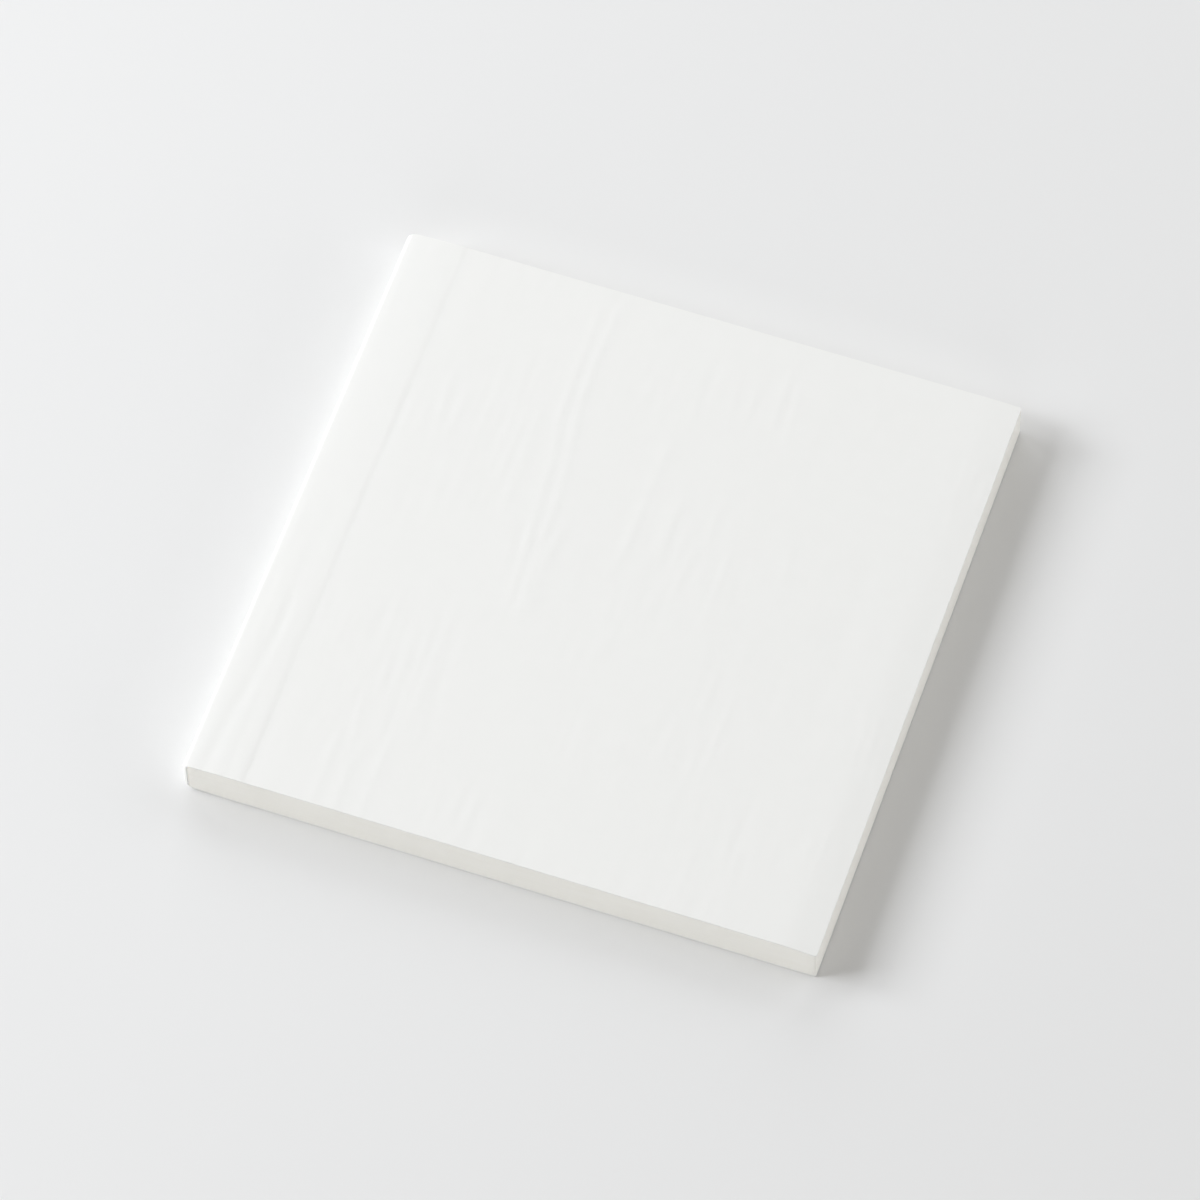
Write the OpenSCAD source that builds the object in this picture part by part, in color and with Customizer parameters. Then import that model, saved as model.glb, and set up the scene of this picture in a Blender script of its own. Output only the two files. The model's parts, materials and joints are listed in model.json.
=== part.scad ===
// Square soft-cover notebook of cotton paper, glued at the spine and trimmed flush.
// Units are millimetres. The book lies on its back cover, and the origin is the centre
// of its underside. +X runs from the spine to the fore-edge, +Y from the tail to the
// head, and +Z from the back cover to the front cover.

/* [Format] */
// Width of the book, from the back of the spine to the fore-edge
book_w = 150; // [90:1:220]
// Height of the book, from the tail to the head
book_h = 150; // [90:1:300]
// Thickness of the stack of leaves, away from the spine
block_t = 9.66; // [5:0.01:30]
// Radius of the two soft corners at the fore-edge, seen from above
corner_r = 0.6; // [0.2:0.1:6]

/* [Cover sheet] */
// Thickness of the cover sheet
cover_t = 0.35; // [0.2:0.01:0.6]
// Outer radius of the fold along each edge of the spine
spine_r = 1.3; // [1:0.1:2]
// How much lower each face of the book lies at the spine than at the crease
spine_pinch = 0.4; // [0:0.05:0.6]

/* [Crease] */
// Distance of the creases from the back of the spine
crease_x = 15; // [8:0.5:30]
// Width of the groove that the score leaves in the outer face
crease_w = 1.2; // [0.4:0.1:2]
// Depth of that groove
crease_d = 0.1; // [0.03:0.01:0.3]
// Slit between the glued strip and the panel that turns on it
crease_slit = 0.02; // [0.01:0.01:0.1]

/* [Glue] */
// Thickness of the glue on the back of the leaves
glue_t = 0.5; // [0.2:0.05:1]
// Thickness of the side glue, and of the air under the free panels beyond it
side_glue_t = 0.12; // [0.05:0.01:0.3]
// Distance at which the side glue stops short of the creases
side_glue_margin = 0.8; // [0.2:0.1:4]

/* [Hidden] */

// Steps in each rounded edge of the spine, and facets of the soft corners
arc_steps = 16;
$fn = 64;
// How far the cutting tools reach past the faces that they cut
over = 1;

// Depth of the leaves under the outer face, and the whole thickness of the book
leaf_inset = cover_t + side_glue_t;
book_t = block_t + 2 * leaf_inset;

// Places along X
spine_face = -book_w / 2;
fore_edge = book_w / 2;
crease_at = spine_face + crease_x;
leaves_start = spine_face + cover_t + glue_t;
side_glue_end = crease_at - side_glue_margin;

// Centre of the upper rounded edge of the spine
fold_x = spine_face + spine_r;
fold_z = book_t - spine_pinch - spine_r;

// Slope of the strip beside the spine: its line touches the rounded edge at the low end
// and reaches the full thickness at the crease
strip_run = crease_at - fold_x;
strip_rise = book_t - fold_z;
strip_slope = acos(spine_r / norm([strip_run, strip_rise])) - atan2(strip_run, strip_rise);

// Upper half of the book's section, lying the given inset inside its outer faces
function upper_half(inset) = concat(
    [for (i = [0 : arc_steps])
        let (a = 180 - i / arc_steps * (90 - strip_slope), r = spine_r - inset)
        [fold_x + r * cos(a), fold_z + r * sin(a)]],
    [[crease_at + inset * tan(strip_slope / 2), book_t - inset],
     [fore_edge, book_t - inset]]
);

// The lower half is the upper one turned over about the middle of the thickness
function lower_half(inset) = let (upper = upper_half(inset), last = len(upper) - 1)
    [for (i = [0 : last]) [upper[last - i][0], book_t - upper[last - i][1]]];

// A section in X and Z, drawn out over the whole height of the book
module along_height(points, extra = 0) {
    translate([0, book_h / 2 + extra, 0])
        rotate([90, 0, 0])
            linear_extrude(height = book_h + 2 * extra)
                polygon(points);
}

// The whole book as one body, lying the given inset inside its outer faces
module book_body(inset, extra = 0) {
    along_height(concat(upper_half(inset), lower_half(inset)), extra);
}

// Everything between two places along X
module between(from_x, to_x) {
    translate([from_x, -book_h / 2 - over, -over])
        cube([to_x - from_x, book_h + 2 * over, book_t + 2 * over]);
}

// What the two soft corners at the fore-edge take away
module corner_waste() {
    for (side = [-1, 1])
        difference() {
            translate([fore_edge - corner_r, side > 0 ? book_h / 2 - corner_r : -book_h / 2 - over, -over])
                cube([corner_r + over, corner_r + over, book_t + 2 * over]);
            translate([fore_edge - corner_r, side * (book_h / 2 - corner_r), -2 * over])
                cylinder(r = corner_r, h = book_t + 4 * over);
        }
}

// Groove of the score in the upper face: a V, open above
module score_groove() {
    slant = crease_w / 2 / crease_d;
    along_height([
        [crease_at - crease_w / 2 - over * slant, book_t + over],
        [crease_at, book_t - crease_d],
        [crease_at + crease_w / 2 + over * slant, book_t + over]
    ], over);
}

// Turns a shape of the upper side over to the lower side
module turned_over() {
    translate([0, 0, book_t]) mirror([0, 0, 1]) children();
}

// All the leaves, as one solid
module leaves(extra = 0) {
    intersection() {
        book_body(leaf_inset, extra);
        between(leaves_start, fore_edge + over);
    }
}

// Stack of leaves, trimmed at head, tail and fore-edge
module page_block() {
    color("ivory")
        difference() {
            leaves();
            corner_waste();
        }
}

// Glue on the back of the leaves, with a thin strip on the first and last leaf
module binding_glue() {
    color("wheat")
        difference() {
            intersection() {
                book_body(cover_t);
                between(spine_face, side_glue_end);
            }
            leaves(over);
        }
}

// Middle of the cover sheet: the spine and the two strips glued down beside it
module spine_cover() {
    color("white")
        difference() {
            intersection() {
                book_body(0);
                between(spine_face - over, crease_at - crease_slit / 2);
            }
            book_body(cover_t, over);
            score_groove();
            turned_over() score_groove();
        }
}

// Free panel of the cover sheet over the first leaf, which turns on the crease
module front_cover() {
    color("snow")
        difference() {
            translate([crease_at + crease_slit / 2, -book_h / 2, book_t - cover_t])
                cube([fore_edge - crease_at - crease_slit / 2, book_h, cover_t]);
            score_groove();
            corner_waste();
        }
}

// Free panel under the last leaf, the front one turned over
module back_cover() {
    color("whitesmoke")
        turned_over() front_cover();
}

page_block();
binding_glue();
spine_cover();
front_cover();
back_cover();
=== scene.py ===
"""Looks of a square soft-cover notebook of cotton paper.

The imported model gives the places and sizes, apart from three that its boxes don't show,
which BookSizes repeats. This script models the cover sheet, the leaves and the glue over
it, with the cockles, creases and trimmed edges that the solids leave out. Four window
lamps at the spine side light the book, with four larger and softer sources round it.

Lengths are in millimetres until a finished mesh is scaled to metres. +X runs from the
spine to the fore-edge, +Y from the tail to the head, +Z from the back to the front.
"""
import json
import logging
import math
from dataclasses import dataclass
from enum import Enum
from typing import Sequence

import bmesh
import bpy
import numpy as np
from bpy.types import Material, NodeSocket, Object
from mathutils import Matrix, Vector, noise


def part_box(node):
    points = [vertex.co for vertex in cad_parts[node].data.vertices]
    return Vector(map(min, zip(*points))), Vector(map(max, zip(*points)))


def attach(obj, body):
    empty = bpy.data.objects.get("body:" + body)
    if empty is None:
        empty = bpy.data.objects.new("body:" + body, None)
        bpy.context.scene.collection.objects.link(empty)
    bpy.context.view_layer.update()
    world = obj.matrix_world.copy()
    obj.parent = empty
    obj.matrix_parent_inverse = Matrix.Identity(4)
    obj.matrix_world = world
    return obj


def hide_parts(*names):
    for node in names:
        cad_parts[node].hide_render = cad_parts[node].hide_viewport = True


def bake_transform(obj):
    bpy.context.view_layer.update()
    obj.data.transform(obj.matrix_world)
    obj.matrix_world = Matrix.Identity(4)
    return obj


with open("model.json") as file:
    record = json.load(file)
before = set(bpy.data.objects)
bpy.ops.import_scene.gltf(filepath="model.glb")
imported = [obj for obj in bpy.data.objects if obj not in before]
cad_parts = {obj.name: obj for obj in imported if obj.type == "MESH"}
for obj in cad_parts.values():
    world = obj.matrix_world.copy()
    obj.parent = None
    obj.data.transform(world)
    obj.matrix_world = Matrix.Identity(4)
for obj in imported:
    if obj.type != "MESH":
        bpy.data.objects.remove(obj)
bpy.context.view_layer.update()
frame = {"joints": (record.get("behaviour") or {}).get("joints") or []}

MM = 0.001
LOG = logging.getLogger("notebook")
Array = np.ndarray

# a vertex nearer to an edge than this lies on it, and two that are nearer still are one
ON_EDGE = 1e-3
SAME_PLACE = 1e-4
# keeps a division and a comparison clear of rounding
HAIR = 1e-6

# beside a crease: the spacing of the columns, and how far from it they stay that close
CREASE_STEP = 0.15
CREASE_RUN = 2.4

# near tail and head: the distance from the end, and the spacing of the rows up to there
COVER_ENDS = ((0.6, 0.15), (1.8, 0.4))
LEAF_ENDS = ((0.6, 0.15), (2.0, 0.7))

# refractive index of the fibres of cotton paper
PAPER_IOR = 1.45


class Side(Enum):
    """Which of the two free cover panels is meant."""

    FRONT = "front_cover"
    BACK = "back_cover"


def linear(hex_colour: str) -> tuple[float, float, float, float]:
    """Turns an sRGB hex colour into linear values.

    Args:
        hex_colour: Six hex digits with a leading hash, such as "#F1F0ED".

    Returns:
        Red, green and blue as linear light, with an alpha of 1.
    """
    channels = [int(hex_colour[i:i + 2], 16) / 255 for i in (1, 3, 5)]
    light = [c / 12.92 if c <= 0.04045 else ((c + 0.055) / 1.055) ** 2.4 for c in channels]
    return light[0], light[1], light[2], 1.0


def add_node(tree: bpy.types.NodeTree, kind: str, settings: dict | None = None,
             inputs: dict | None = None) -> bpy.types.Node:
    """Adds one node with its settings and its inputs.

    Args:
        tree: The node tree that the node goes into.
        kind: The node's type name, such as "ShaderNodeTexNoise".
        settings: Attributes of the node, by name.
        inputs: What each input socket gets, by name or place: a value, or an output socket.

    Returns:
        The new node.
    """
    node = tree.nodes.new(kind)
    for name, value in (settings or {}).items():
        setattr(node, name, value)
    for name, value in (inputs or {}).items():
        if isinstance(value, NodeSocket):
            tree.links.new(value, node.inputs[name])
        else:
            node.inputs[name].default_value = value
    return node


def smoothstep(t: Array) -> Array:
    """Smooth rise from 0 at t = 0 to 1 at t = 1."""
    t = np.clip(t, 0.0, 1.0)
    return t * t * (3 - 2 * t)


def bell(t: Array) -> Array:
    """Bell curve, 1 at t = 0 and steepest at t = -1 and t = 1."""
    return np.exp(-t ** 2 / 2)


def fading(distance: Array, run: float) -> Array:
    """Share that is 1 up to a distance of 0 and dies out beyond it, over a run."""
    return np.exp(-np.maximum(distance, 0.0) / run)


def grain_noise(a: Array, b: Array | float, layer: Array | float) -> Array:
    """Smooth noise from about -1 to 1, at places given by arrays or single numbers.

    Args:
        a: First coordinate of each place, in units of the noise's grain.
        b: Second coordinate.
        layer: Third coordinate, which picks one of many patterns.

    Returns:
        The noise at each place, in the shape of the first coordinate.
    """
    places = np.broadcast_arrays(a, b, layer)
    values = [noise.noise(Vector(place)) for place in zip(*(p.ravel() for p in places))]
    return np.array(values).reshape(places[0].shape)


def spread(*runs: tuple[float, float]) -> list[float]:
    """Places along a line, made of runs that each have their own spacing.

    Args:
        runs: Pairs of the place where a run ends and the spacing inside it. The first
            pair gives only the start.

    Returns:
        All the places, from the start to the end of the last run.
    """
    places = [runs[0][0]]
    for end, step in runs[1:]:
        count = max(1, round((end - places[-1]) / step))
        start = places[-1]
        places += [start + (end - start) * i / count for i in range(1, count + 1)]
    return places


@dataclass(frozen=True)
class BookSizes:
    """Sizes and places of the book in millimetres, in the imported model's frame.

    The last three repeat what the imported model's boxes don't show: the outer radius of
    the folds of the spine, how much lower each face lies there than at the crease, and
    the radius of the corners at the fore-edge.
    """

    spine: float
    crease: float
    fore: float
    tail: float
    head: float
    thick: float
    sheet: float
    leaves_start: float
    leaves_low: float
    leaves_high: float
    glue_end: float
    fold_radius: float = 1.3
    pinch: float = 0.4
    corner_radius: float = 0.6

    @classmethod
    def from_frame(cls) -> "BookSizes":
        """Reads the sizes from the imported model's nodes and hinges."""
        wrap_low, wrap_high = (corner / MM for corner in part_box("spine_cover"))
        leaves_low, leaves_high = (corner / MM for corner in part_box("page_block"))
        panel_low, panel_high = (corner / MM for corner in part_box(Side.FRONT.value))
        glue_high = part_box("binding_glue")[1] / MM
        hinge = next(j for j in frame["joints"] if j["child"] == Side.FRONT.value)
        return cls(
            spine=wrap_low.x, crease=hinge["pos_m"][0] / MM, fore=leaves_high.x,
            tail=wrap_low.y, head=wrap_high.y, thick=panel_high.z,
            sheet=panel_high.z - panel_low.z, leaves_start=leaves_low.x,
            leaves_low=leaves_low.z, leaves_high=leaves_high.z, glue_end=glue_high.x,
        )

    @property
    def leaf_inset(self) -> float:
        """Depth of the first leaf under the outer face of the cover."""
        return self.thick - self.leaves_high

    @property
    def fold_centre(self) -> tuple[float, float]:
        """Centre of the upper rounded edge of the spine, in X and Z."""
        return self.spine + self.fold_radius, self.thick - self.pinch - self.fold_radius

    @property
    def strip_slope(self) -> float:
        """Angle at which the glued strip falls from the crease to the spine."""
        x, z = self.fold_centre
        run, rise = self.crease - x, self.thick - z
        return math.acos(self.fold_radius / math.hypot(run, rise)) - math.atan2(run, rise)

    def fall(self, x: Array | float) -> Array | float:
        """How far the leaves and the strip lie lower at X than at the crease."""
        return np.maximum(self.crease - x, 0.0) * math.tan(self.strip_slope)

    def fold_arc(self, inset: float, steps: int) -> list[tuple[float, float, float]]:
        """Upper rounded edge of the spine, from its back to the glued strip.

        Args:
            inset: Depth of the line under the outer face.
            steps: Number of steps along it.

        Returns:
            X, Z and the angle of the outward normal for each point.
        """
        x, z = self.fold_centre
        radius = self.fold_radius - inset
        angles = [math.pi - i / steps * (math.pi / 2 - self.strip_slope) for i in range(steps + 1)]
        return [(x + radius * math.cos(a), z + radius * math.sin(a), a) for a in angles]


@dataclass(frozen=True)
class Cockle:
    """A long low ridge or furrow in the cover sheet, along a line of points.

    Attributes:
        points: X and Y of the points that its crest passes through, from head to tail.
        height: Height of the crest, below zero for a furrow.
        width: Distance from the crest at which the slope is steepest.
        fade: Length over which it dies away at each end, half of it beyond the last point.
        wander: How the crest strays from its line, as parts that each have an amount,
            a length and a layer of the noise.
        strength: How the height varies along the crest, in the same parts.
    """

    points: tuple[tuple[float, float], ...]
    height: float
    width: float = 0.8
    fade: float = 9.0
    wander: tuple[tuple[float, float, float], ...] = ((0.3, 7.0, 3.0), (0.15, 2.4, 13.0))
    strength: tuple[tuple[float, float, float], ...] = ((0.7, 5.0, 8.0), (0.8, 2.2, 18.0))

    def uneven(self, y: Array, parts: Sequence[tuple[float, float, float]]) -> Array:
        """Sum of such parts at each Y, which differs from cockle to cockle."""
        lane = self.points[-1][0]
        return sum(amount * grain_noise(y / length, lane, layer) for amount, length, layer in parts)

    def relief(self, x: Array, y: Array) -> Array:
        """Height that the cockle adds at each point, with a natural unevenness along it."""
        line_x, line_y = np.array(self.points[::-1], float).T
        crest = np.interp(y, line_y, line_x) + self.uneven(y, self.wander)
        at_tail = smoothstep((y - line_y[0]) / self.fade + 0.5)
        at_head = smoothstep((line_y[-1] - y) / self.fade + 0.5)
        strength = 1 + self.uneven(y, self.strength)
        return self.height * strength * (at_tail * at_head) * bell((x - crest) / self.width)


@dataclass(frozen=True)
class Ripple:
    """One band of faint ripples in a layer of the noise, with features of this width across
    the grain and this length along it, from head to tail, and this share of the height.
    """

    width: float
    length: float
    share: float
    layer: float

    def relief(self, x: Array, y: Array, seed: float) -> Array:
        """Height of the band at each point, for the panel with this seed."""
        return self.share * grain_noise(x / self.width, y / self.length, seed + self.layer)


BROAD_RIPPLES = (Ripple(7.0, 30.0, share=1.0, layer=0.0), Ripple(28.0, 60.0, share=2.5, layer=10.0))
FINE_RIPPLES = Ripple(2.1, 11.0, share=2.6, layer=40.0)
# where the fine ripples show
RIPPLE_PATCHES = Ripple(26.0, 22.0, share=1.6, layer=30.0)


@dataclass(frozen=True)
class CoverRelief:
    """Everything that lifts or lowers the outer face of a cover sheet.

    Attributes:
        cockles: The long ridges and furrows that show one by one.
        score_depth: Depth of the scored crease, steep towards the spine, then gentle.
        tail_score: How much deeper the crease is at the tail, as a share.
        tail_run: Distance from the tail at which it starts to deepen.
        shoulder_drop: How far the strip is drawn down right beside the fold.
        head_sag: How much lower the strip lies at the head than at the tail.
        sag_margin: Distance from tail and head inside which that doesn't change.
        sag_lift: Share of the sag by which the whole strip is lifted again.
        sag_power: How closely the sag keeps to the spine.
        fore_slope: Slope at which the sheet falls to the trimmed fore-edge.
        fore_start: Distance from the fore-edge at which that starts.
        fore_full: Distance from the fore-edge at which it reaches its full slope.
        fore_at_head: Share of that slope at the head.
        fore_gain: What is added to the share towards the tail.
        fore_power: How closely the added share keeps to the tail.
        lip: How far the knife has drawn the three trimmed edges in towards the leaves.
        ripple: Height of the faint ripples that cover the whole sheet.
        level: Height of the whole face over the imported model's.
        ceiling: Greatest height that any point may reach, which is 0 where the book rests.
        seed: Moves the ripples, so that no two panels are alike.
    """

    sizes: BookSizes
    cockles: tuple[Cockle, ...]
    score_depth: float = 0.065
    score_steep: float = 0.72
    score_gentle: float = 2.4
    tail_score: float = 0.9
    tail_run: float = 35.0
    shoulder_drop: float = 0.09
    shoulder_run: float = 0.8
    head_sag: float = 0.2
    sag_margin: float = 20.0
    sag_lift: float = 0.35
    sag_power: float = 1.5
    fore_slope: float = 0.05
    fore_start: float = 10.0
    fore_full: float = 3.5
    fore_at_head: float = 0.8
    fore_gain: float = 0.95
    fore_power: float = 1.3
    lip: float = 0.0
    lip_run: float = 0.8
    ripple: float = 0.019
    level: float = 0.0
    ceiling: float = 0.2
    seed: float = 0.0

    def ripples(self, x: Array, y: Array) -> Array:
        """Faint ripples all over the sheet, with fine ones in patches."""
        broad = sum(band.relief(x, y, self.seed) for band in BROAD_RIPPLES)
        patches = smoothstep(0.5 + RIPPLE_PATCHES.relief(x, y, self.seed))
        return self.ripple * (broad + patches * FINE_RIPPLES.relief(x, y, self.seed))

    def score(self, x: Array, y: Array) -> Array:
        """Groove of the crease, steeper on its spine side and deeper at the tail."""
        s = self.sizes
        width = np.where(x < s.crease, self.score_steep, self.score_gentle)
        deeper = 1 + self.tail_score * smoothstep((s.tail + self.tail_run - y) / self.tail_run)
        return -self.score_depth * deeper * bell((x - s.crease) / width)

    def strip(self, x: Array, y: Array) -> Array:
        """Form of the glued strip: level at the crease, steep at the spine, lower at the head."""
        s = self.sizes
        share = np.clip((s.crease - x) / (s.crease - s.fold_centre[0]), 0.0, 1.0)
        sag_length = s.head - s.tail - 2 * self.sag_margin
        at_head = smoothstep((y - s.tail - self.sag_margin) / sag_length) - self.sag_lift
        return s.pinch * share * (1 - share) - self.head_sag * at_head * share ** self.sag_power

    def shoulder(self, x: Array) -> Array:
        """Soft fall of the strip right beside the fold of the spine."""
        return -self.shoulder_drop * fading(x - self.sizes.fold_centre[0], self.shoulder_run)

    def droop(self, x: Array, y: Array) -> Array:
        """Fall of the sheet towards the trimmed fore-edge, steeper at the tail."""
        s = self.sizes
        run = self.fore_start - self.fore_full
        share = np.clip((x - (s.fore - self.fore_start)) / run, 0.0, 1.0)
        straight = np.maximum(x - (s.fore - self.fore_full), 0.0)
        from_head = np.clip((s.head - y) / (s.head - s.tail), 0.0, 1.0)
        steeper = self.fore_at_head + self.fore_gain * from_head ** self.fore_power
        return -self.fore_slope * steeper * (run * (share ** 3 - share ** 4 / 2) + straight)

    def drawn_in(self, x: Array, y: Array) -> Array:
        """Fall of the last millimetre beside the trimmed edges, where the knife has pressed."""
        s = self.sizes
        inside = np.minimum(np.minimum(y - s.tail, s.head - y), s.fore - x)
        return -self.lip * fading(inside, self.lip_run)

    def broad(self, x: Array, y: Array) -> Array:
        """The broad forms, which the leaves under the cover share."""
        at_spine = self.score(x, y) + self.strip(x, y) + self.shoulder(x)
        return at_spine + self.droop(x, y) + self.drawn_in(x, y)

    def height(self, x: Array, y: Array) -> Array:
        """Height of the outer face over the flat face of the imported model."""
        total = self.level + self.broad(x, y) + self.ripples(x, y)
        for cockle in self.cockles:
            total += cockle.relief(x, y)
        return np.minimum(total, self.ceiling)


def round_corners(x: Array, y: Array, sizes: BookSizes) -> tuple[Array, Array]:
    """Draws the points beside the two fore-edge corners in to a round corner.

    Args:
        x: X of each point.
        y: Y of each point.
        sizes: Sizes of the book.

    Returns:
        X and Y of the moved points.
    """
    r = sizes.corner_radius
    middle = (sizes.head + sizes.tail) / 2
    half = (sizes.head - sizes.tail) / 2
    side = np.sign(y - middle)
    a = x - (sizes.fore - r)
    b = np.abs(y - middle) - (half - r)
    inside = (a > 0) & (b > 0)
    share = np.where(inside, np.maximum(a, b) / np.maximum(np.hypot(a, b), HAIR), 1.0)
    new_x = np.where(inside, sizes.fore - r + a * share, x)
    new_y = np.where(inside, middle + side * (half - r + b * share), y)
    return new_x, new_y


def curl_ends(x: Array, y: Array, sizes: BookSizes, radius: float = 1.1,
              depth: float = 0.8, reach: float = 2.5) -> Array:
    """Turns the two ends of the spine in, as the trimming knife leaves them.

    Args:
        x: X of each point.
        y: Y of each point.
        sizes: Sizes of the book.
        radius: Radius of the soft end, seen from above.
        depth: How far the end turns in, as a share of the radius.
        reach: How far from the spine it turns in, in radii.

    Returns:
        X of the moved points.
    """
    from_end = np.minimum(y - sizes.tail, sizes.head - y)
    inward = np.clip(radius - from_end, 0.0, radius)
    turn = radius - np.sqrt(radius ** 2 - inward ** 2)
    near_spine = 1.0 - smoothstep((x - sizes.spine) / (reach * radius))
    return x + depth * turn * near_spine


def vertex_places(mesh: bmesh.types.BMesh) -> Array:
    """Every vertex of a mesh as a row of X, Y and Z."""
    return np.array([v.co for v in mesh.verts], float)


def move_vertices(mesh: bmesh.types.BMesh, x: Array, y: Array, z: Array) -> None:
    """Moves every vertex of a mesh to its own X, Y and Z."""
    for vertex, co in zip(mesh.verts, np.stack([x, y, z], 1)):
        vertex.co = co


class SheetMesh:
    """A mesh that starts as a flat grid and is bent into a sheet of paper."""

    def __init__(self, columns: Sequence[float], rows: Sequence[float]) -> None:
        """Makes the grid.

        Args:
            columns: Places of the grid's columns, along the first direction.
            rows: Places of the grid's rows, along Y.
        """
        self.mesh = bmesh.new()
        bmesh.ops.create_grid(self.mesh, x_segments=len(columns) - 1, y_segments=len(rows) - 1, size=1.0)
        flat = vertex_places(self.mesh)
        row = np.rint((flat[:, 1] + 1) / 2 * (len(rows) - 1)).astype(int)
        self.column = np.rint((flat[:, 0] + 1) / 2 * (len(columns) - 1)).astype(int)
        self.u = np.array(columns)[self.column]
        self.v = np.array(rows)[row]

    def thicken(self, thickness: float) -> None:
        """Gives the sheet its thickness, under the face that is there.

        The columns run so that every face of the open sheet already points outwards.
        """
        self.mesh.normal_update()
        bmesh.ops.solidify(self.mesh, geom=self.mesh.faces[:], thickness=thickness)

    def soften_edges(self, radius: float, seam: float, seam_gap: float = 0.05,
                     sharper_than: float = math.radians(60)) -> None:
        """Rounds the sharp edges, apart from those at the seam, where the next piece goes on."""
        edges = [e for e in self.mesh.edges if e.is_manifold and e.calc_face_angle() > sharper_than
                 and max(abs(v.co.x - seam) for v in e.verts) > seam_gap]
        bmesh.ops.bevel(self.mesh, geom=edges, offset=radius, segments=2, profile=0.5,
                        affect="EDGES", material=-1, clamp_overlap=True)


def finished_object(name: str, mesh: bmesh.types.BMesh, materials: Sequence[Material],
                    smooth_under: float = 40.0) -> Object:
    """Turns a bmesh in millimetres into a scene object in metres.

    Args:
        name: Name of the piece.
        mesh: The modelled mesh, which is freed.
        materials: Its materials, in slot order.
        smooth_under: Edges that turn by fewer degrees than this are shaded smooth.

    Returns:
        The object, at the origin, with its place in its mesh.
    """
    bmesh.ops.scale(mesh, vec=(MM, MM, MM), verts=mesh.verts)
    data = bpy.data.meshes.new(name)
    mesh.to_mesh(data)
    mesh.free()
    for material in materials:
        data.materials.append(material)
    data.shade_smooth()
    data.set_sharp_from_angle(angle=math.radians(smooth_under))
    obj = bpy.data.objects.new(name, data)
    bpy.context.scene.collection.objects.link(obj)
    return obj


class FinishTree:
    """One material with its shader, and the textures that the finishes here share."""

    def __init__(self, name: str, surface: dict[str, float | tuple[float, ...]]) -> None:
        """Makes the material.

        Args:
            name: Name of the material.
            surface: Constant inputs of its shader, by name.
        """
        self.material = bpy.data.materials.new(name)
        self.material.use_nodes = True
        self.tree = self.material.node_tree
        self.shader = self.tree.nodes["Principled BSDF"]
        for socket, value in surface.items():
            self.shader.inputs[socket].default_value = value
        self.place = add_node(self.tree, "ShaderNodeTexCoord").outputs["Object"]

    def noise(self, feature_mm: float, look: dict[str, float], along: float = 1.0) -> NodeSocket:
        """Adds a noise texture.

        Args:
            feature_mm: Size of its features, in millimetres.
            look: Its other inputs, by name.
            along: Scale of the coordinates along X and Y, under 1 for a level grain.

        Returns:
            Its value, from 0 to 1.
        """
        place = self.place
        if along != 1.0:
            level = {"Vector": place, "Scale": (along, along, 1.0)}
            place = add_node(self.tree, "ShaderNodeMapping", {}, level).outputs["Vector"]
        inputs = {"Vector": place, "Scale": 1.0 / (feature_mm * MM), **look}
        return add_node(self.tree, "ShaderNodeTexNoise", {}, inputs).outputs["Fac"]

    def tint(self, factor: NodeSocket, low: str, high: str) -> None:
        """Lets the colour run between two tones.

        Args:
            factor: Texture that picks the tone.
            low: Tone where the texture is 0, sRGB.
            high: Tone where it is 1, sRGB.
        """
        # these sockets go by place, because the node has others of the same names
        first_colour, second_colour, mixed_colour = 6, 7, 2
        mix = add_node(self.tree, "ShaderNodeMix", {"data_type": "RGBA"}, {
            "Factor": factor, first_colour: linear(low), second_colour: linear(high)})
        self.tree.links.new(mix.outputs[mixed_colour], self.shader.inputs["Base Color"])

    def relief(self, *layers: tuple[NodeSocket, float]) -> None:
        """Adds the fine relief, one layer over the other.

        Args:
            layers: Texture and depth in millimetres of each layer, the broadest first.
        """
        below = {}
        for texture, depth_mm in layers:
            bump = add_node(self.tree, "ShaderNodeBump", {}, {
                "Height": texture, "Distance": depth_mm * MM, "Strength": 1.0, **below})
            below = {"Normal": bump.outputs["Normal"]}
        self.tree.links.new(below["Normal"], self.shader.inputs["Normal"])


@dataclass(frozen=True)
class CottonCoverPaper:
    """Uncoated cotton cover paper, mould made and pressed between felts.

    It is matt and nearly white. The eye sees a soft felt mark, cloudy patches where the
    fibres lie thicker, and single fibres only from close by.
    """

    colour: str = "#F1F1EE"
    thin_patch: str = "#EFEFEC"
    cloud_mm: float = 5.0
    felt_mm: float = 0.9
    fibre_mm: float = 0.16
    felt_depth: float = 0.012
    fibre_depth: float = 0.006
    roughness: float = 0.88
    specular: float = 0.25
    name: str = "cotton_cover_paper"

    def material(self) -> Material:
        """Builds the paper's material."""
        finish = FinishTree(self.name, {
            "Roughness": self.roughness, "IOR": PAPER_IOR, "Specular IOR Level": self.specular})
        clouds = finish.noise(self.cloud_mm, {"Detail": 4.0, "Roughness": 0.6})
        finish.tint(clouds, self.thin_patch, self.colour)
        felt = finish.noise(self.felt_mm, {"Detail": 3.0, "Roughness": 0.55})
        fibres = finish.noise(self.fibre_mm, {"Detail": 2.0, "Distortion": 1.5})
        finish.relief((felt, self.felt_depth), (fibres, self.fibre_depth))
        return finish.material


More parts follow.
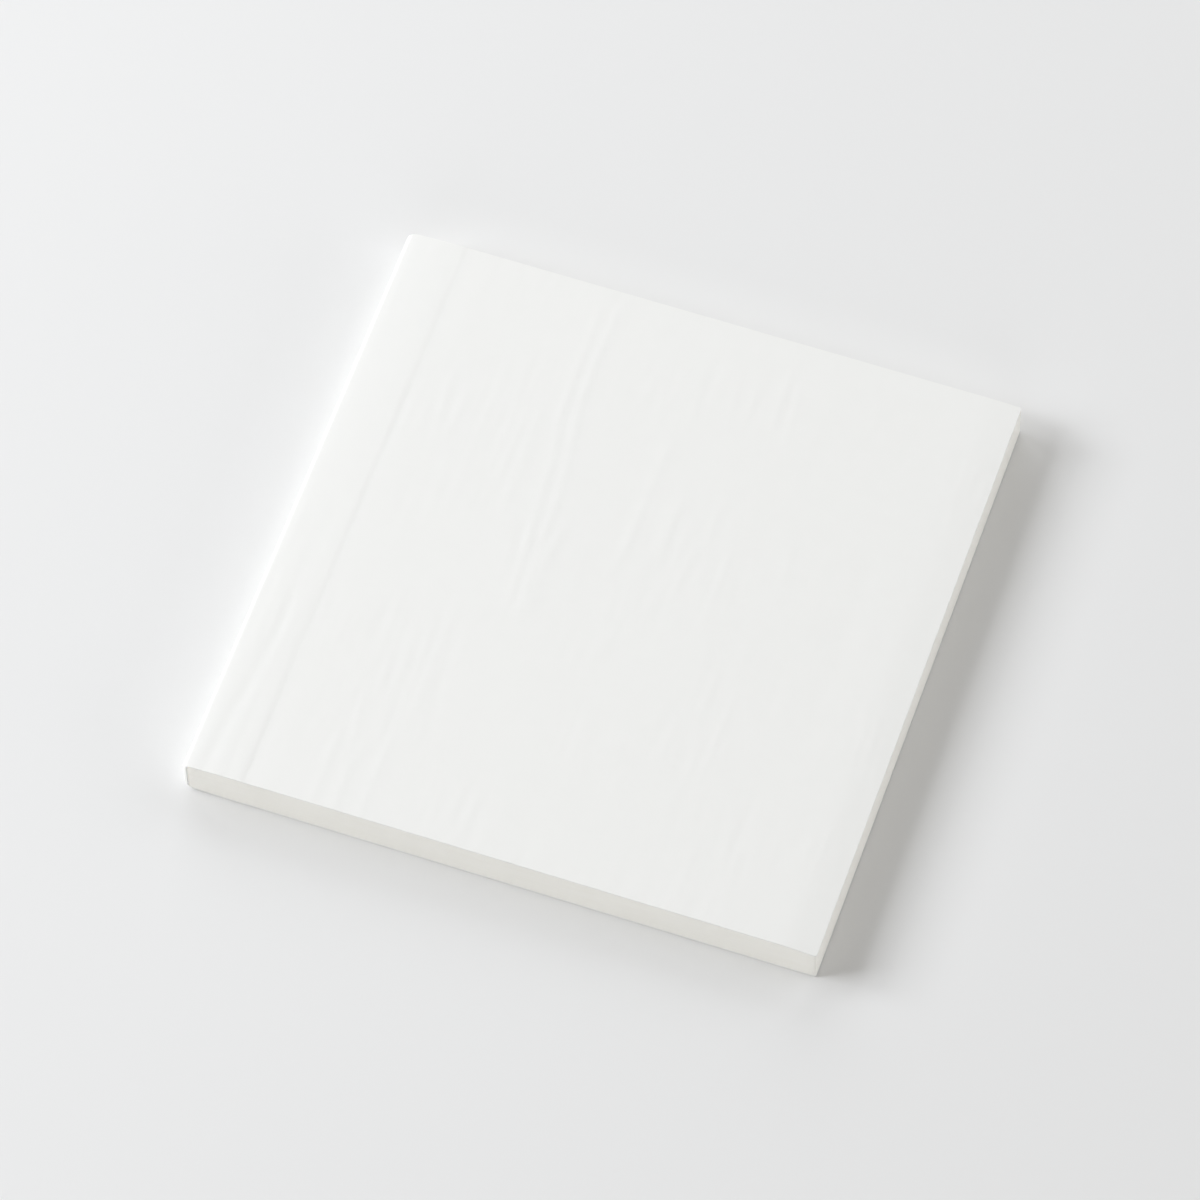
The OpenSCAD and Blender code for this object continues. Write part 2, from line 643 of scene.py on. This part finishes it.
@dataclass(frozen=True)
class TrimmedLeafEdges:
    """Edges of a stack of cotton leaves, cut by one pass of a guillotine.

    They are matt and a little warmer than the face of the paper. Their colour is set lighter than
    that face: painted light, which stands in for the light that shines in through the thin leaves
    at the edges. The eye sees fine lines along the leaves, and faint streaks where the blade pulled the
    fibres.
    """

    # painted light: lighter than the leaves' own face, for light that shines through the paper at the
    # edges
    colour: str = "#F8F7F2"
    shaded: str = "#F1EFE8"
    streak_mm: float = 0.5
    along_leaves: float = 0.04
    fibre_mm: float = 0.12
    fibre_depth: float = 0.015
    roughness: float = 0.92
    specular: float = 0.2

    def material(self) -> Material:
        """Builds the material of the cut edges."""
        finish = FinishTree("trimmed_cotton_leaf_edges", {
            "Roughness": self.roughness, "IOR": PAPER_IOR, "Specular IOR Level": self.specular})
        streaks = finish.noise(self.streak_mm, {"Detail": 4.0, "Roughness": 0.65}, self.along_leaves)
        finish.tint(streaks, self.shaded, self.colour)
        fibres = finish.noise(self.fibre_mm, {"Detail": 2.0, "Distortion": 1.0})
        finish.relief((fibres, self.fibre_depth))
        return finish.material


@dataclass(frozen=True)
class DriedBindingGlue:
    """Cold white bookbinding glue, brushed on and dried.

    It has dried nearly as white as the paper and slightly see-through, with a soft shine
    and brush marks.
    """

    colour: str = "#F0EEE6"
    brush_mm: float = 0.7
    brush_depth: float = 0.02
    roughness: float = 0.42
    ior: float = 1.47
    see_through: float = 0.3
    light_depth_m: tuple[float, float, float] = (0.0006, 0.0005, 0.0003)

    def material(self) -> Material:
        """Builds the glue's material."""
        finish = FinishTree("dried_binding_glue", {
            "Base Color": linear(self.colour), "Roughness": self.roughness, "IOR": self.ior,
            "Subsurface Weight": self.see_through, "Subsurface Radius": self.light_depth_m})
        strokes = finish.noise(self.brush_mm, {"Detail": 3.0})
        finish.relief((strokes, self.brush_depth))
        return finish.material


@dataclass(frozen=True)
class MattPaintedBoard:
    """Table top of board, painted matt. The eye sees the roller's faint unevenness."""

    colour: str = "#E9E9E8"
    roller_mm: float = 1.4
    roller_depth: float = 0.008
    roughness: float = 0.95
    specular: float = 0.15

    def material(self) -> Material:
        """Builds the paint's material."""
        finish = FinishTree("matt_painted_board", {
            "Base Color": linear(self.colour), "Roughness": self.roughness,
            "Specular IOR Level": self.specular})
        roller = finish.noise(self.roller_mm, {"Detail": 3.0})
        finish.relief((roller, self.roller_depth))
        return finish.material


FRONT_COCKLES = (
    # the long pair, which steps aside by 3 mm a third of the way down
    Cockle(((-25.2, 68), (-25.3, 55), (-25.1, 45), (-24.8, 37), (-22.6, 28), (-21.9, 18), (-21.2, 8),
            (-20.2, -2), (-19.6, -13)), height=0.047),
    Cockle(((-21.6, 72), (-21.8, 55), (-21.6, 45), (-20.6, 36), (-18.9, 27), (-18.0, 17), (-17.8, 7),
            (-17.2, -3), (-16.8, -14)), height=0.056),
    Cockle(((-14.9, 12), (-14.9, -2), (-14.7, -14)), height=0.06, width=1.2),
    Cockle(((-29.6, 42), (-29.0, 28), (-28.5, 17), (-28.5, 6)), height=0.042),
    # fainter ones in the middle of the panel
    Cockle(((1.5, 40), (1.0, 25), (0.6, 8)), height=0.055, width=1.0),
    Cockle(((8.5, 30), (8.0, 9)), height=0.05, width=1.0),
    Cockle(((24.0, 22), (24.5, 7)), height=0.045, fade=6.0),
    Cockle(((36.5, 24), (38.0, 10)), height=0.04, fade=6.0),
    Cockle(((27.0, -8), (28.0, -22)), height=0.03, fade=6.0),
    Cockle(((31.0, -12), (32.4, -32)), height=0.033, fade=6.0),
    Cockle(((35.4, -5), (36.0, -18)), height=0.028, fade=6.0),
    Cockle(((-27.5, -26), (-26.0, -48)), height=-0.04),
    Cockle(((55.0, 22), (55.5, -14)), height=-0.06, width=2.2, fade=14.0),
    # short ones where the tail edge has taken up damp
    Cockle(((-44.5, -58), (-44.0, -78)), height=0.045, width=0.9),
    Cockle(((-39.5, -60), (-39.0, -78)), height=0.05, width=0.9),
    Cockle(((-33.0, -58), (-33.0, -78)), height=0.042, width=0.9),
    # the furrow in the glued strip, which deepens towards the tail, and its faint neighbour
    Cockle(((-66.1, 0), (-66.4, -20), (-67.2, -43), (-69.0, -60), (-69.9, -72), (-70.1, -80)),
           height=-0.052, width=1.1, fade=14.0),
    Cockle(((-66.8, -30), (-67.2, -43), (-69.0, -60), (-69.9, -72), (-70.1, -80)),
           height=-0.045, width=1.1, fade=14.0),
    Cockle(((-64.6, -50), (-64.4, -76)), height=-0.03, width=0.7),
)

BACK_COCKLES = (
    Cockle(((-40.0, 50), (-38.5, 10), (-39.0, -20)), height=-0.03),
    Cockle(((12.0, 70), (13.5, 20)), height=-0.028),
    Cockle(((44.0, -5), (45.5, -60)), height=-0.03),
)


def end_rows(sizes: BookSizes, step: float, ends: Sequence[tuple[float, float]]) -> list[float]:
    """Rows along Y that are close together at tail and head.

    Args:
        sizes: Sizes of the book.
        step: Spacing of the rows away from the ends.
        ends: Pairs of a distance from the end and the spacing of the rows up to there,
            the nearest first.

    Returns:
        The places of the rows, from tail to head.
    """
    distances = [0.0, *(distance for distance, _ in ends)]
    spacings = [spacing for _, spacing in ends]
    from_tail = [(sizes.tail + d, spacing) for d, spacing in zip(distances, [0.0, *spacings])]
    to_head = [(sizes.head - d, spacing) for d, spacing in zip(distances[::-1], [step, *spacings[::-1]])]
    return spread(*from_tail, *to_head)


def turn_over(mesh: bmesh.types.BMesh, sizes: BookSizes) -> None:
    """Turns a mesh of the upper side over to the lower side, in place.

    Args:
        mesh: The mesh, with its faces pointing outwards.
        sizes: Sizes of the book.
    """
    flip = Matrix.Translation((0, 0, sizes.thick)) @ Matrix.Scale(-1, 4, (0, 0, 1))
    bmesh.ops.transform(mesh, matrix=flip, verts=mesh.verts)
    bmesh.ops.reverse_faces(mesh, faces=mesh.faces)


@dataclass
class CoverPanel:
    """A free panel of the cover sheet, from its crease to the fore-edge.

    Attributes:
        relief: Form of its outer face.
        grain_step: Spacing of the mesh's columns in the middle of the panel.
        rim: Distance from the fore-edge at which they come closer.
        edge_radius: How far the trimmed edges are rounded.
        fold_run: Not used.
    """

    sizes: BookSizes
    side: Side
    relief: CoverRelief
    grain_step: float = 0.5
    row_step: float = 1.5
    rim: float = 1.2
    rim_step: float = 0.2
    edge_step: float = 0.1
    edge_radius: float = 0.11
    fold_run: float = 1.3

    def columns(self) -> list[float]:
        """Places of the mesh's columns: close together at the crease and at the fore-edge."""
        s = self.sizes
        return spread(
            (s.crease, 0), (s.crease + CREASE_RUN, CREASE_STEP), (s.fore - self.rim, self.grain_step),
            (s.fore - self.rim_step, self.rim_step), (s.fore, self.edge_step),
        )

    def build(self, paper: Material) -> Object:
        """Models the panel in its place.

        Args:
            paper: Material of the cover sheet.

        Returns:
            The finished piece.
        """
        s = self.sizes
        sheet = SheetMesh(self.columns(), end_rows(s, self.row_step, COVER_ENDS))
        x, y = round_corners(sheet.u, sheet.v, s)
        move_vertices(sheet.mesh, x, y, s.thick + self.relief.height(x, y))
        sheet.thicken(s.sheet)
        sheet.soften_edges(self.edge_radius, seam=s.crease)
        if self.side is Side.BACK:
            turn_over(sheet.mesh, s)
        piece = finished_object(f"{self.side.value}_sheet", sheet.mesh, [paper])
        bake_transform(piece)
        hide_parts(self.side.value)
        return piece


@dataclass
class SpineWrap:
    """Middle of the cover sheet: the spine, its two folds and the strips glued beside it.

    Attributes:
        face_start: Upward part of the normal at which a face's form sets in.
        face_run: How much more of it the form takes to be full.
        unevenness: Height of the unevenness of the back of the spine.
        uneven_size: Size of its features across the back and along it.
        uneven_layer: Its layer of the noise.
        set_in: How far it is set in, as a share of its height.
    """

    sizes: BookSizes
    front: CoverRelief
    back: CoverRelief
    row_step: float = 1.5
    back_step: float = 0.7
    fold_steps: int = 12
    strip_step: float = 0.35
    edge_radius: float = 0.11
    face_start: float = 0.2
    face_run: float = 0.6
    unevenness: float = 0.02
    uneven_size: tuple[float, float] = (5.0, 14.0)
    uneven_layer: float = 50.0
    set_in: float = 0.5

    def section(self) -> list[tuple[float, float, float]]:
        """Outer line of the wrap from the lower crease round the spine to the upper one.

        Returns:
            X, Z and the angle of the outward normal for each point.
        """
        s = self.sizes
        spine_z = spread((s.thick / 2, 0), (s.fold_centre[1], self.back_step))[:-1]
        fold = s.fold_arc(0.0, self.fold_steps)
        near_crease = (s.crease - CREASE_RUN, self.strip_step), (s.crease, CREASE_STEP)
        strip_x = spread((fold[-1][0], 0), *near_crease)[1:]
        upper = [(s.spine, z, math.pi) for z in spine_z] + fold
        upper += [(x, s.thick - s.fall(x), math.pi / 2 + s.strip_slope) for x in strip_x]
        lower = [(x, s.thick - z, -angle) for x, z, angle in upper[:0:-1]]
        return lower + upper

    def build(self, paper: Material) -> Object:
        """Models the wrap.

        Args:
            paper: Material of the cover sheet.

        Returns:
            The finished piece.
        """
        s = self.sizes
        section = np.array(self.section())
        sheet = SheetMesh(range(len(section)), end_rows(s, self.row_step, COVER_ENDS))
        x, z, angle = (section[sheet.column, i] for i in range(3))
        y = sheet.v
        upper_share = smoothstep((np.sin(angle) - self.face_start) / self.face_run)
        lower_share = smoothstep((-np.sin(angle) - self.face_start) / self.face_run)
        across, along = self.uneven_size
        uneven = self.unevenness * (grain_noise(z / across, y / along, self.uneven_layer) - self.set_in)
        lift = (upper_share * self.front.height(x, y) + lower_share * self.back.height(x, y)
                + (1 - upper_share - lower_share) * uneven)
        x = x + lift * np.cos(angle)
        z = z + lift * np.sin(angle)
        move_vertices(sheet.mesh, curl_ends(x, y, s), y, z)
        sheet.thicken(s.sheet)
        sheet.soften_edges(self.edge_radius, seam=s.crease)
        piece = finished_object("spine_wrap", sheet.mesh, [paper])
        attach(piece, "block")
        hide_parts("spine_cover")
        return piece


@dataclass
class BindingGlue:
    """Glue on the backs of the leaves, with a thin strip on the first and last leaf.

    Attributes:
        trim: How far the glue stops short of tail and head.
        form_gain: How fast a face's form sets in from the middle of the thickness.
    """

    sizes: BookSizes
    front: CoverRelief
    back: CoverRelief
    row_step: float = 3.0
    fold_steps: int = 8
    strip_step: float = 1.0
    trim: float = 0.02
    form_gain: float = 1.2

    def upper_line(self, inset: float, start: float) -> list[tuple[float, float]]:
        """Line round the upper fold and along the strip to the end of the side glue.

        Args:
            inset: Depth of the line under the outer face.
            start: X beyond which it is drawn.

        Returns:
            X and Z of each point.
        """
        s = self.sizes
        points = [(x, z) for x, z, _ in s.fold_arc(inset, self.fold_steps) if x > start]
        strip_x = spread((points[-1][0], 0), (s.glue_end, self.strip_step))[1:]
        return points + [(x, s.thick - s.fall(x) - inset) for x in strip_x]

    def section(self) -> list[tuple[float, float]]:
        """Closed outline of the glue, in X and Z."""
        s = self.sizes
        fold_x, fold_z = s.fold_centre
        outer = self.upper_line(s.sheet, s.spine + s.sheet - HAIR)
        radius = s.fold_radius - s.leaf_inset
        corner_z = fold_z + math.sqrt(max(radius ** 2 - (s.leaves_start - fold_x) ** 2, 0.0))
        inner = [(s.leaves_start, corner_z), *self.upper_line(s.leaf_inset, s.leaves_start)]
        lower_outer = [(x, s.thick - z) for x, z in outer[::-1]]
        lower_inner = [(x, s.thick - z) for x, z in inner]
        return [*lower_outer, *outer, *inner[::-1], *lower_inner]

    def build(self, glue: Material) -> Object:
        """Models the glue.

        Args:
            glue: Material of the dried glue.

        Returns:
            The finished piece.
        """
        s = self.sizes
        outline = self.section()
        mesh = bmesh.new()
        ring = bmesh.ops.create_circle(mesh, segments=len(outline), radius=1.0)["verts"]
        for vertex, (x, z) in zip(ring, outline):
            vertex.co = (x, s.tail + self.trim, z)
        steps = round((s.head - s.tail) / self.row_step)
        bmesh.ops.spin(mesh, geom=mesh.edges[:], cent=(0, 0, 0), axis=(0, 1, 0), angle=0.0, steps=steps,
                       dvec=(0, (s.head - s.tail - 2 * self.trim) / steps, 0))
        bmesh.ops.holes_fill(mesh, edges=[e for e in mesh.edges if e.is_boundary])
        x, y, z = vertex_places(mesh).T
        above_middle = (z - s.thick / 2) / (s.thick / 2)
        front_share = smoothstep(above_middle * self.form_gain)
        back_share = smoothstep(-above_middle * self.form_gain)
        z = z + front_share * self.front.broad(x, y) - back_share * self.back.broad(x, y)
        move_vertices(mesh, curl_ends(x, y, s), y, z)
        bmesh.ops.recalc_face_normals(mesh, faces=mesh.faces)
        piece = finished_object("glue_film", mesh, [glue])
        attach(piece, "block")
        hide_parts("binding_glue")
        return piece


@dataclass
class LeafBlock:
    """Stack of leaves, each with its own edge, trimmed on three sides.

    Attributes:
        leaf_rows: Where the rows of mesh lie in each leaf, as shares of its thickness:
            the groove under it, and the two corners of its edge.
        groove: Depth of the groove between two edges.
        straggle: How far the edges lie apart from each other.
        leaf_layers: Layer of the noise for the last leaf, and the step from leaf to leaf.
        waviness: How far the leaves wave inside the stack.
        wave_layers: How much the waves change from the last leaf to the first.
        loft: How much the stack swells beyond the side glue.
        back_run: Distance from the backs of the leaves within which the columns lie closer,
            as they do near the crease and the fore-edge.
        face_tilt: Upward part of the normal over which a face shows the leaf, not its edge.
    """

    sizes: BookSizes
    front: CoverRelief
    back: CoverRelief
    leaves: int = 50
    leaf_rows: tuple[float, ...] = (0.0, 0.22, 0.78)
    groove: float = 0.022
    straggle: float = 0.02
    straggle_size: float = 40.0
    leaf_layers: tuple[float, float] = (5.0, 1.7)
    waviness: float = 0.03
    wave_size: float = 30.0
    wave_layers: float = 2.0
    loft: float = 0.06
    loft_run: float = 2.5
    back_run: float = 2.0
    crease_run: float = 1.5
    fore_run: float = 10.0
    rim: float = 0.6
    middle_step: float = 4.0
    face_tilt: float = 0.7

    @property
    def rows(self) -> int:
        """Number of rows of mesh in the whole stack."""
        return self.leaves * len(self.leaf_rows)

    def build(self, face: Material, edge: Material) -> Object:
        """Models the stack of leaves.

        Args:
            face: Material of the first and last leaf's face.
            edge: Material of the trimmed edges.

        Returns:
            The finished piece.
        """
        mesh, layer, u, v = self.stack()
        self.shape(mesh, layer, u, v)
        for f in mesh.faces:
            f.material_index = 0 if abs(f.normal.z) > self.face_tilt else 1
        LOG.info("leaf block: %d leaves in %d rows of mesh", self.leaves, self.rows)
        piece = finished_object("leaf_block", mesh, [face, edge], smooth_under=30.0)
        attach(piece, "block")
        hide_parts("page_block")
        return piece

    def columns(self) -> list[float]:
        """Places of the mesh's columns: close at the back, at the crease and at the fore-edge."""
        s = self.sizes
        return spread(
            (s.leaves_start, 0), (s.leaves_start + self.back_run, 0.4), (s.crease - self.crease_run, 1.6),
            (s.crease + self.crease_run, 0.5), (s.fore - self.fore_run, self.middle_step),
            (s.fore - self.rim, 1.3), (s.fore, 0.15),
        )

    def stack(self) -> tuple[bmesh.types.BMesh, Array, Array, Array]:
        """Makes the closed stack, one unit high for each row of mesh.

        Returns:
            The mesh, and for each vertex its row, its X and its Y.
        """
        base = SheetMesh(self.columns(), end_rows(self.sizes, self.middle_step, LEAF_ENDS))
        mesh = base.mesh
        move_vertices(mesh, base.u, base.v, np.zeros_like(base.u))
        bottom = mesh.faces[:]
        rim = [e for e in mesh.edges if e.is_boundary]
        bmesh.ops.spin(mesh, geom=rim, cent=(0, 0, 0), axis=(0, 0, 1), angle=0.0, steps=self.rows,
                       dvec=(0, 0, 1))
        copy = bmesh.ops.duplicate(mesh, geom=bottom)["geom"]
        top = [g for g in copy if isinstance(g, bmesh.types.BMVert)]
        bmesh.ops.translate(mesh, vec=(0, 0, self.rows), verts=top)
        bmesh.ops.remove_doubles(mesh, verts=mesh.verts, dist=SAME_PLACE)
        bmesh.ops.recalc_face_normals(mesh, faces=mesh.faces)
        u, v, layer = vertex_places(mesh).T
        return mesh, np.rint(layer).astype(int), u, v

    def shape(self, mesh: bmesh.types.BMesh, layer: Array, u: Array, v: Array) -> None:
        """Presses the stack into the book's form and sets back the edge of each leaf.

        Args:
            mesh: The closed stack.
            layer: Row of each vertex.
            u: X of each vertex.
            v: Y of each vertex.
        """
        s = self.sizes
        leaf, part = np.divmod(layer, len(self.leaf_rows))
        share = (leaf + np.array(self.leaf_rows)[part]) / self.leaves
        first_layer, layer_step = self.leaf_layers
        own = grain_noise(u / self.straggle_size, v / self.straggle_size, leaf * layer_step + first_layer)
        set_back = np.where(part == 0, self.groove, 0.0) + self.straggle * (0.5 + own)
        set_back = np.where((layer == 0) | (layer == self.rows), self.groove, set_back)
        x, y = round_corners(u, v, s)
        x = np.where(u > s.fore - ON_EDGE, x - set_back, x)
        y = np.where(v - s.tail < ON_EDGE, y + set_back, np.where(s.head - v < ON_EDGE, y - set_back, y))
        press = s.fall(x) - self.loft * smoothstep((x - s.glue_end) / self.loft_run)
        low = s.leaves_low + press - self.back.broad(x, y)
        high = s.leaves_high - press + self.front.broad(x, y)
        wave = grain_noise(u / self.wave_size, v / self.wave_size, share * self.wave_layers)
        z = low + share * (high - low) + self.waviness * wave * np.sin(np.pi * share)
        move_vertices(mesh, self.round_back(curl_ends(x, y, s), z), y, z)

    def round_back(self, x: Array, z: Array) -> Array:
        """Draws the back corners of the stack in under the two folds of the spine."""
        s = self.sizes
        fold_x, fold_z = s.fold_centre
        radius = s.fold_radius - s.leaf_inset
        over = np.maximum(np.abs(z - s.thick / 2) - (fold_z - s.thick / 2), 0.0)
        limit = fold_x - np.sqrt(np.maximum(radius ** 2 - np.minimum(over, radius) ** 2, 0.0))
        return np.where(x < fold_x, np.maximum(x, limit), x)


@dataclass(frozen=True)
class PhotoCamera:
    """Camera where the photograph was taken from, solved from the corners of the book.

    Its azimuth runs from -Y round to +X. Angles are in radians and distances in metres,
    and the lens and the sensor in millimetres.
    """

    azimuth: float = math.radians(20.19)
    elevation: float = math.radians(59.94)
    roll: float = math.radians(-1.2)
    distance: float = 1.7829
    target: tuple[float, float, float] = (-0.00221, 0.00107, 0.00005)
    lens: float = 234.1
    sensor: float = 36.0
    near: float = 0.05
    far: float = 50.0

    def build(self) -> None:
        """Places the camera and makes it the scene's own."""
        data = bpy.data.cameras.new("photo_camera")
        data.lens = self.lens
        data.sensor_width = self.sensor
        data.clip_start = self.near
        data.clip_end = self.far
        obj = bpy.data.objects.new("photo_camera", data)
        bpy.context.scene.collection.objects.link(obj)
        sine, cosine = math.sin(self.azimuth), math.cos(self.azimuth)
        flat = math.cos(self.elevation)
        back = Vector((sine * flat, -cosine * flat, math.sin(self.elevation)))
        right = Vector((cosine, sine, 0.0))
        up = back.cross(right)
        turned_right = right * math.cos(self.roll) + up * math.sin(self.roll)
        turned_up = up * math.cos(self.roll) - right * math.sin(self.roll)
        axes = Matrix((turned_right, turned_up, back)).transposed().to_4x4()
        obj.matrix_world = Matrix.Translation(Vector(self.target) + back * self.distance) @ axes
        bpy.context.scene.camera = obj


@dataclass(frozen=True)
class SoftLight:
    """A soft square source that faces the book.

    Its azimuth runs from +X round to +Y. Angles are in degrees and lengths in metres.
    """

    name: str
    azimuth: float
    elevation: float
    size: float
    watts: float
    colour: str = "#F9FBFF"
    distance: float = 2.2

    def build(self) -> None:
        """Places the light."""
        data = bpy.data.lights.new(self.name, "AREA")
        data.shape = "SQUARE"
        data.size = self.size
        data.energy = self.watts
        data.color = linear(self.colour)[:3]
        obj = bpy.data.objects.new(self.name, data)
        obj.visible_camera = False
        bpy.context.scene.collection.objects.link(obj)
        az, el = math.radians(self.azimuth), math.radians(self.elevation)
        out = Vector((math.cos(az) * math.cos(el), math.sin(az) * math.cos(el), math.sin(el)))
        obj.location = out * self.distance
        obj.rotation_euler = out.to_track_quat("Z", "Y").to_euler()


@dataclass(frozen=True)
class Studio:
    """Pale table, window lamps at the spine side and an even light all round."""

    table_size: float = 12.0
    around_colour: str = "#FFF6E6"
    around_strength: float = 0.162
    lights: tuple[SoftLight, ...] = (
        SoftLight("window_head_end", azimuth=165, elevation=42, size=0.6, watts=7.2, colour="#F7FAFF"),
        SoftLight("window_middle", azimuth=185, elevation=28, size=0.6, watts=18.0),
        SoftLight("window_tail_low", azimuth=205, elevation=28, size=0.6, watts=8.4),
        SoftLight("window_tail_high", azimuth=205, elevation=42, size=0.6, watts=11.4, colour="#F7FAFF"),
        SoftLight("wall_at_head", azimuth=120, elevation=30, size=1.6, watts=17.8),
        SoftLight("wall_at_fore_edge", azimuth=40, elevation=32, size=1.6, watts=12.9),
        SoftLight("card_at_fore_edge", azimuth=0, elevation=4, size=1.6, watts=17.5),
        SoftLight("card_at_tail", azimuth=280, elevation=10, size=1.6, watts=14.2),
    )

    def build(self) -> None:
        """Makes the table, the world's light and the lamps."""
        mesh = bmesh.new()
        bmesh.ops.create_grid(mesh, x_segments=2, y_segments=2, size=self.table_size / MM / 2)
        table = finished_object("table", mesh, [MattPaintedBoard().material()])
        for light in self.lights:
            light.build()
        world = bpy.data.worlds.new("studio")
        bpy.context.scene.world = world
        world.use_nodes = True
        backdrop = world.node_tree.nodes["Background"]
        backdrop.inputs["Color"].default_value = linear(self.around_colour)
        backdrop.inputs["Strength"].default_value = self.around_strength


@dataclass
class Notebook:
    """The whole notebook: cover sheet, leaves and glue."""

    sizes: BookSizes

    def build(self) -> None:
        """Builds and dresses every piece, from the outside in."""
        s = self.sizes
        front = CoverRelief(s, FRONT_COCKLES)
        back = CoverRelief(s, BACK_COCKLES, head_sag=0.0, fore_slope=0.01, lip=0.12, level=-0.03,
                           ceiling=0.0, seed=31.0)
        paper = CottonCoverPaper().material()
        leaf_face = CottonCoverPaper(colour="#F3F2EE", thin_patch="#EFEEE9", felt_depth=0.008,
                                     name="cotton_leaf_paper").material()
        leaf_edge = TrimmedLeafEdges().material()
        glue = DriedBindingGlue().material()
        pieces = [
            CoverPanel(s, Side.FRONT, front).build(paper),
            CoverPanel(s, Side.BACK, back, grain_step=1.0, row_step=2.0).build(paper),
            SpineWrap(s, front, back).build(paper),
            LeafBlock(s, front, back).build(leaf_face, leaf_edge),
            BindingGlue(s, front, back).build(glue),
        ]
        for piece in pieces:
            data = piece.data
            LOG.info("%s: %d vertices, %d faces", piece.name, len(data.vertices), len(data.polygons))


def main() -> None:
    """Builds the camera, the notebook and the studio in order."""
    logging.basicConfig(level=logging.INFO, format="%(name)s: %(message)s")
    scene = bpy.context.scene
    scene.view_settings.view_transform = "Standard"
    PhotoCamera().build()
    Notebook(BookSizes.from_frame()).build()
    Studio().build()


if __name__ == "__main__":
    main()
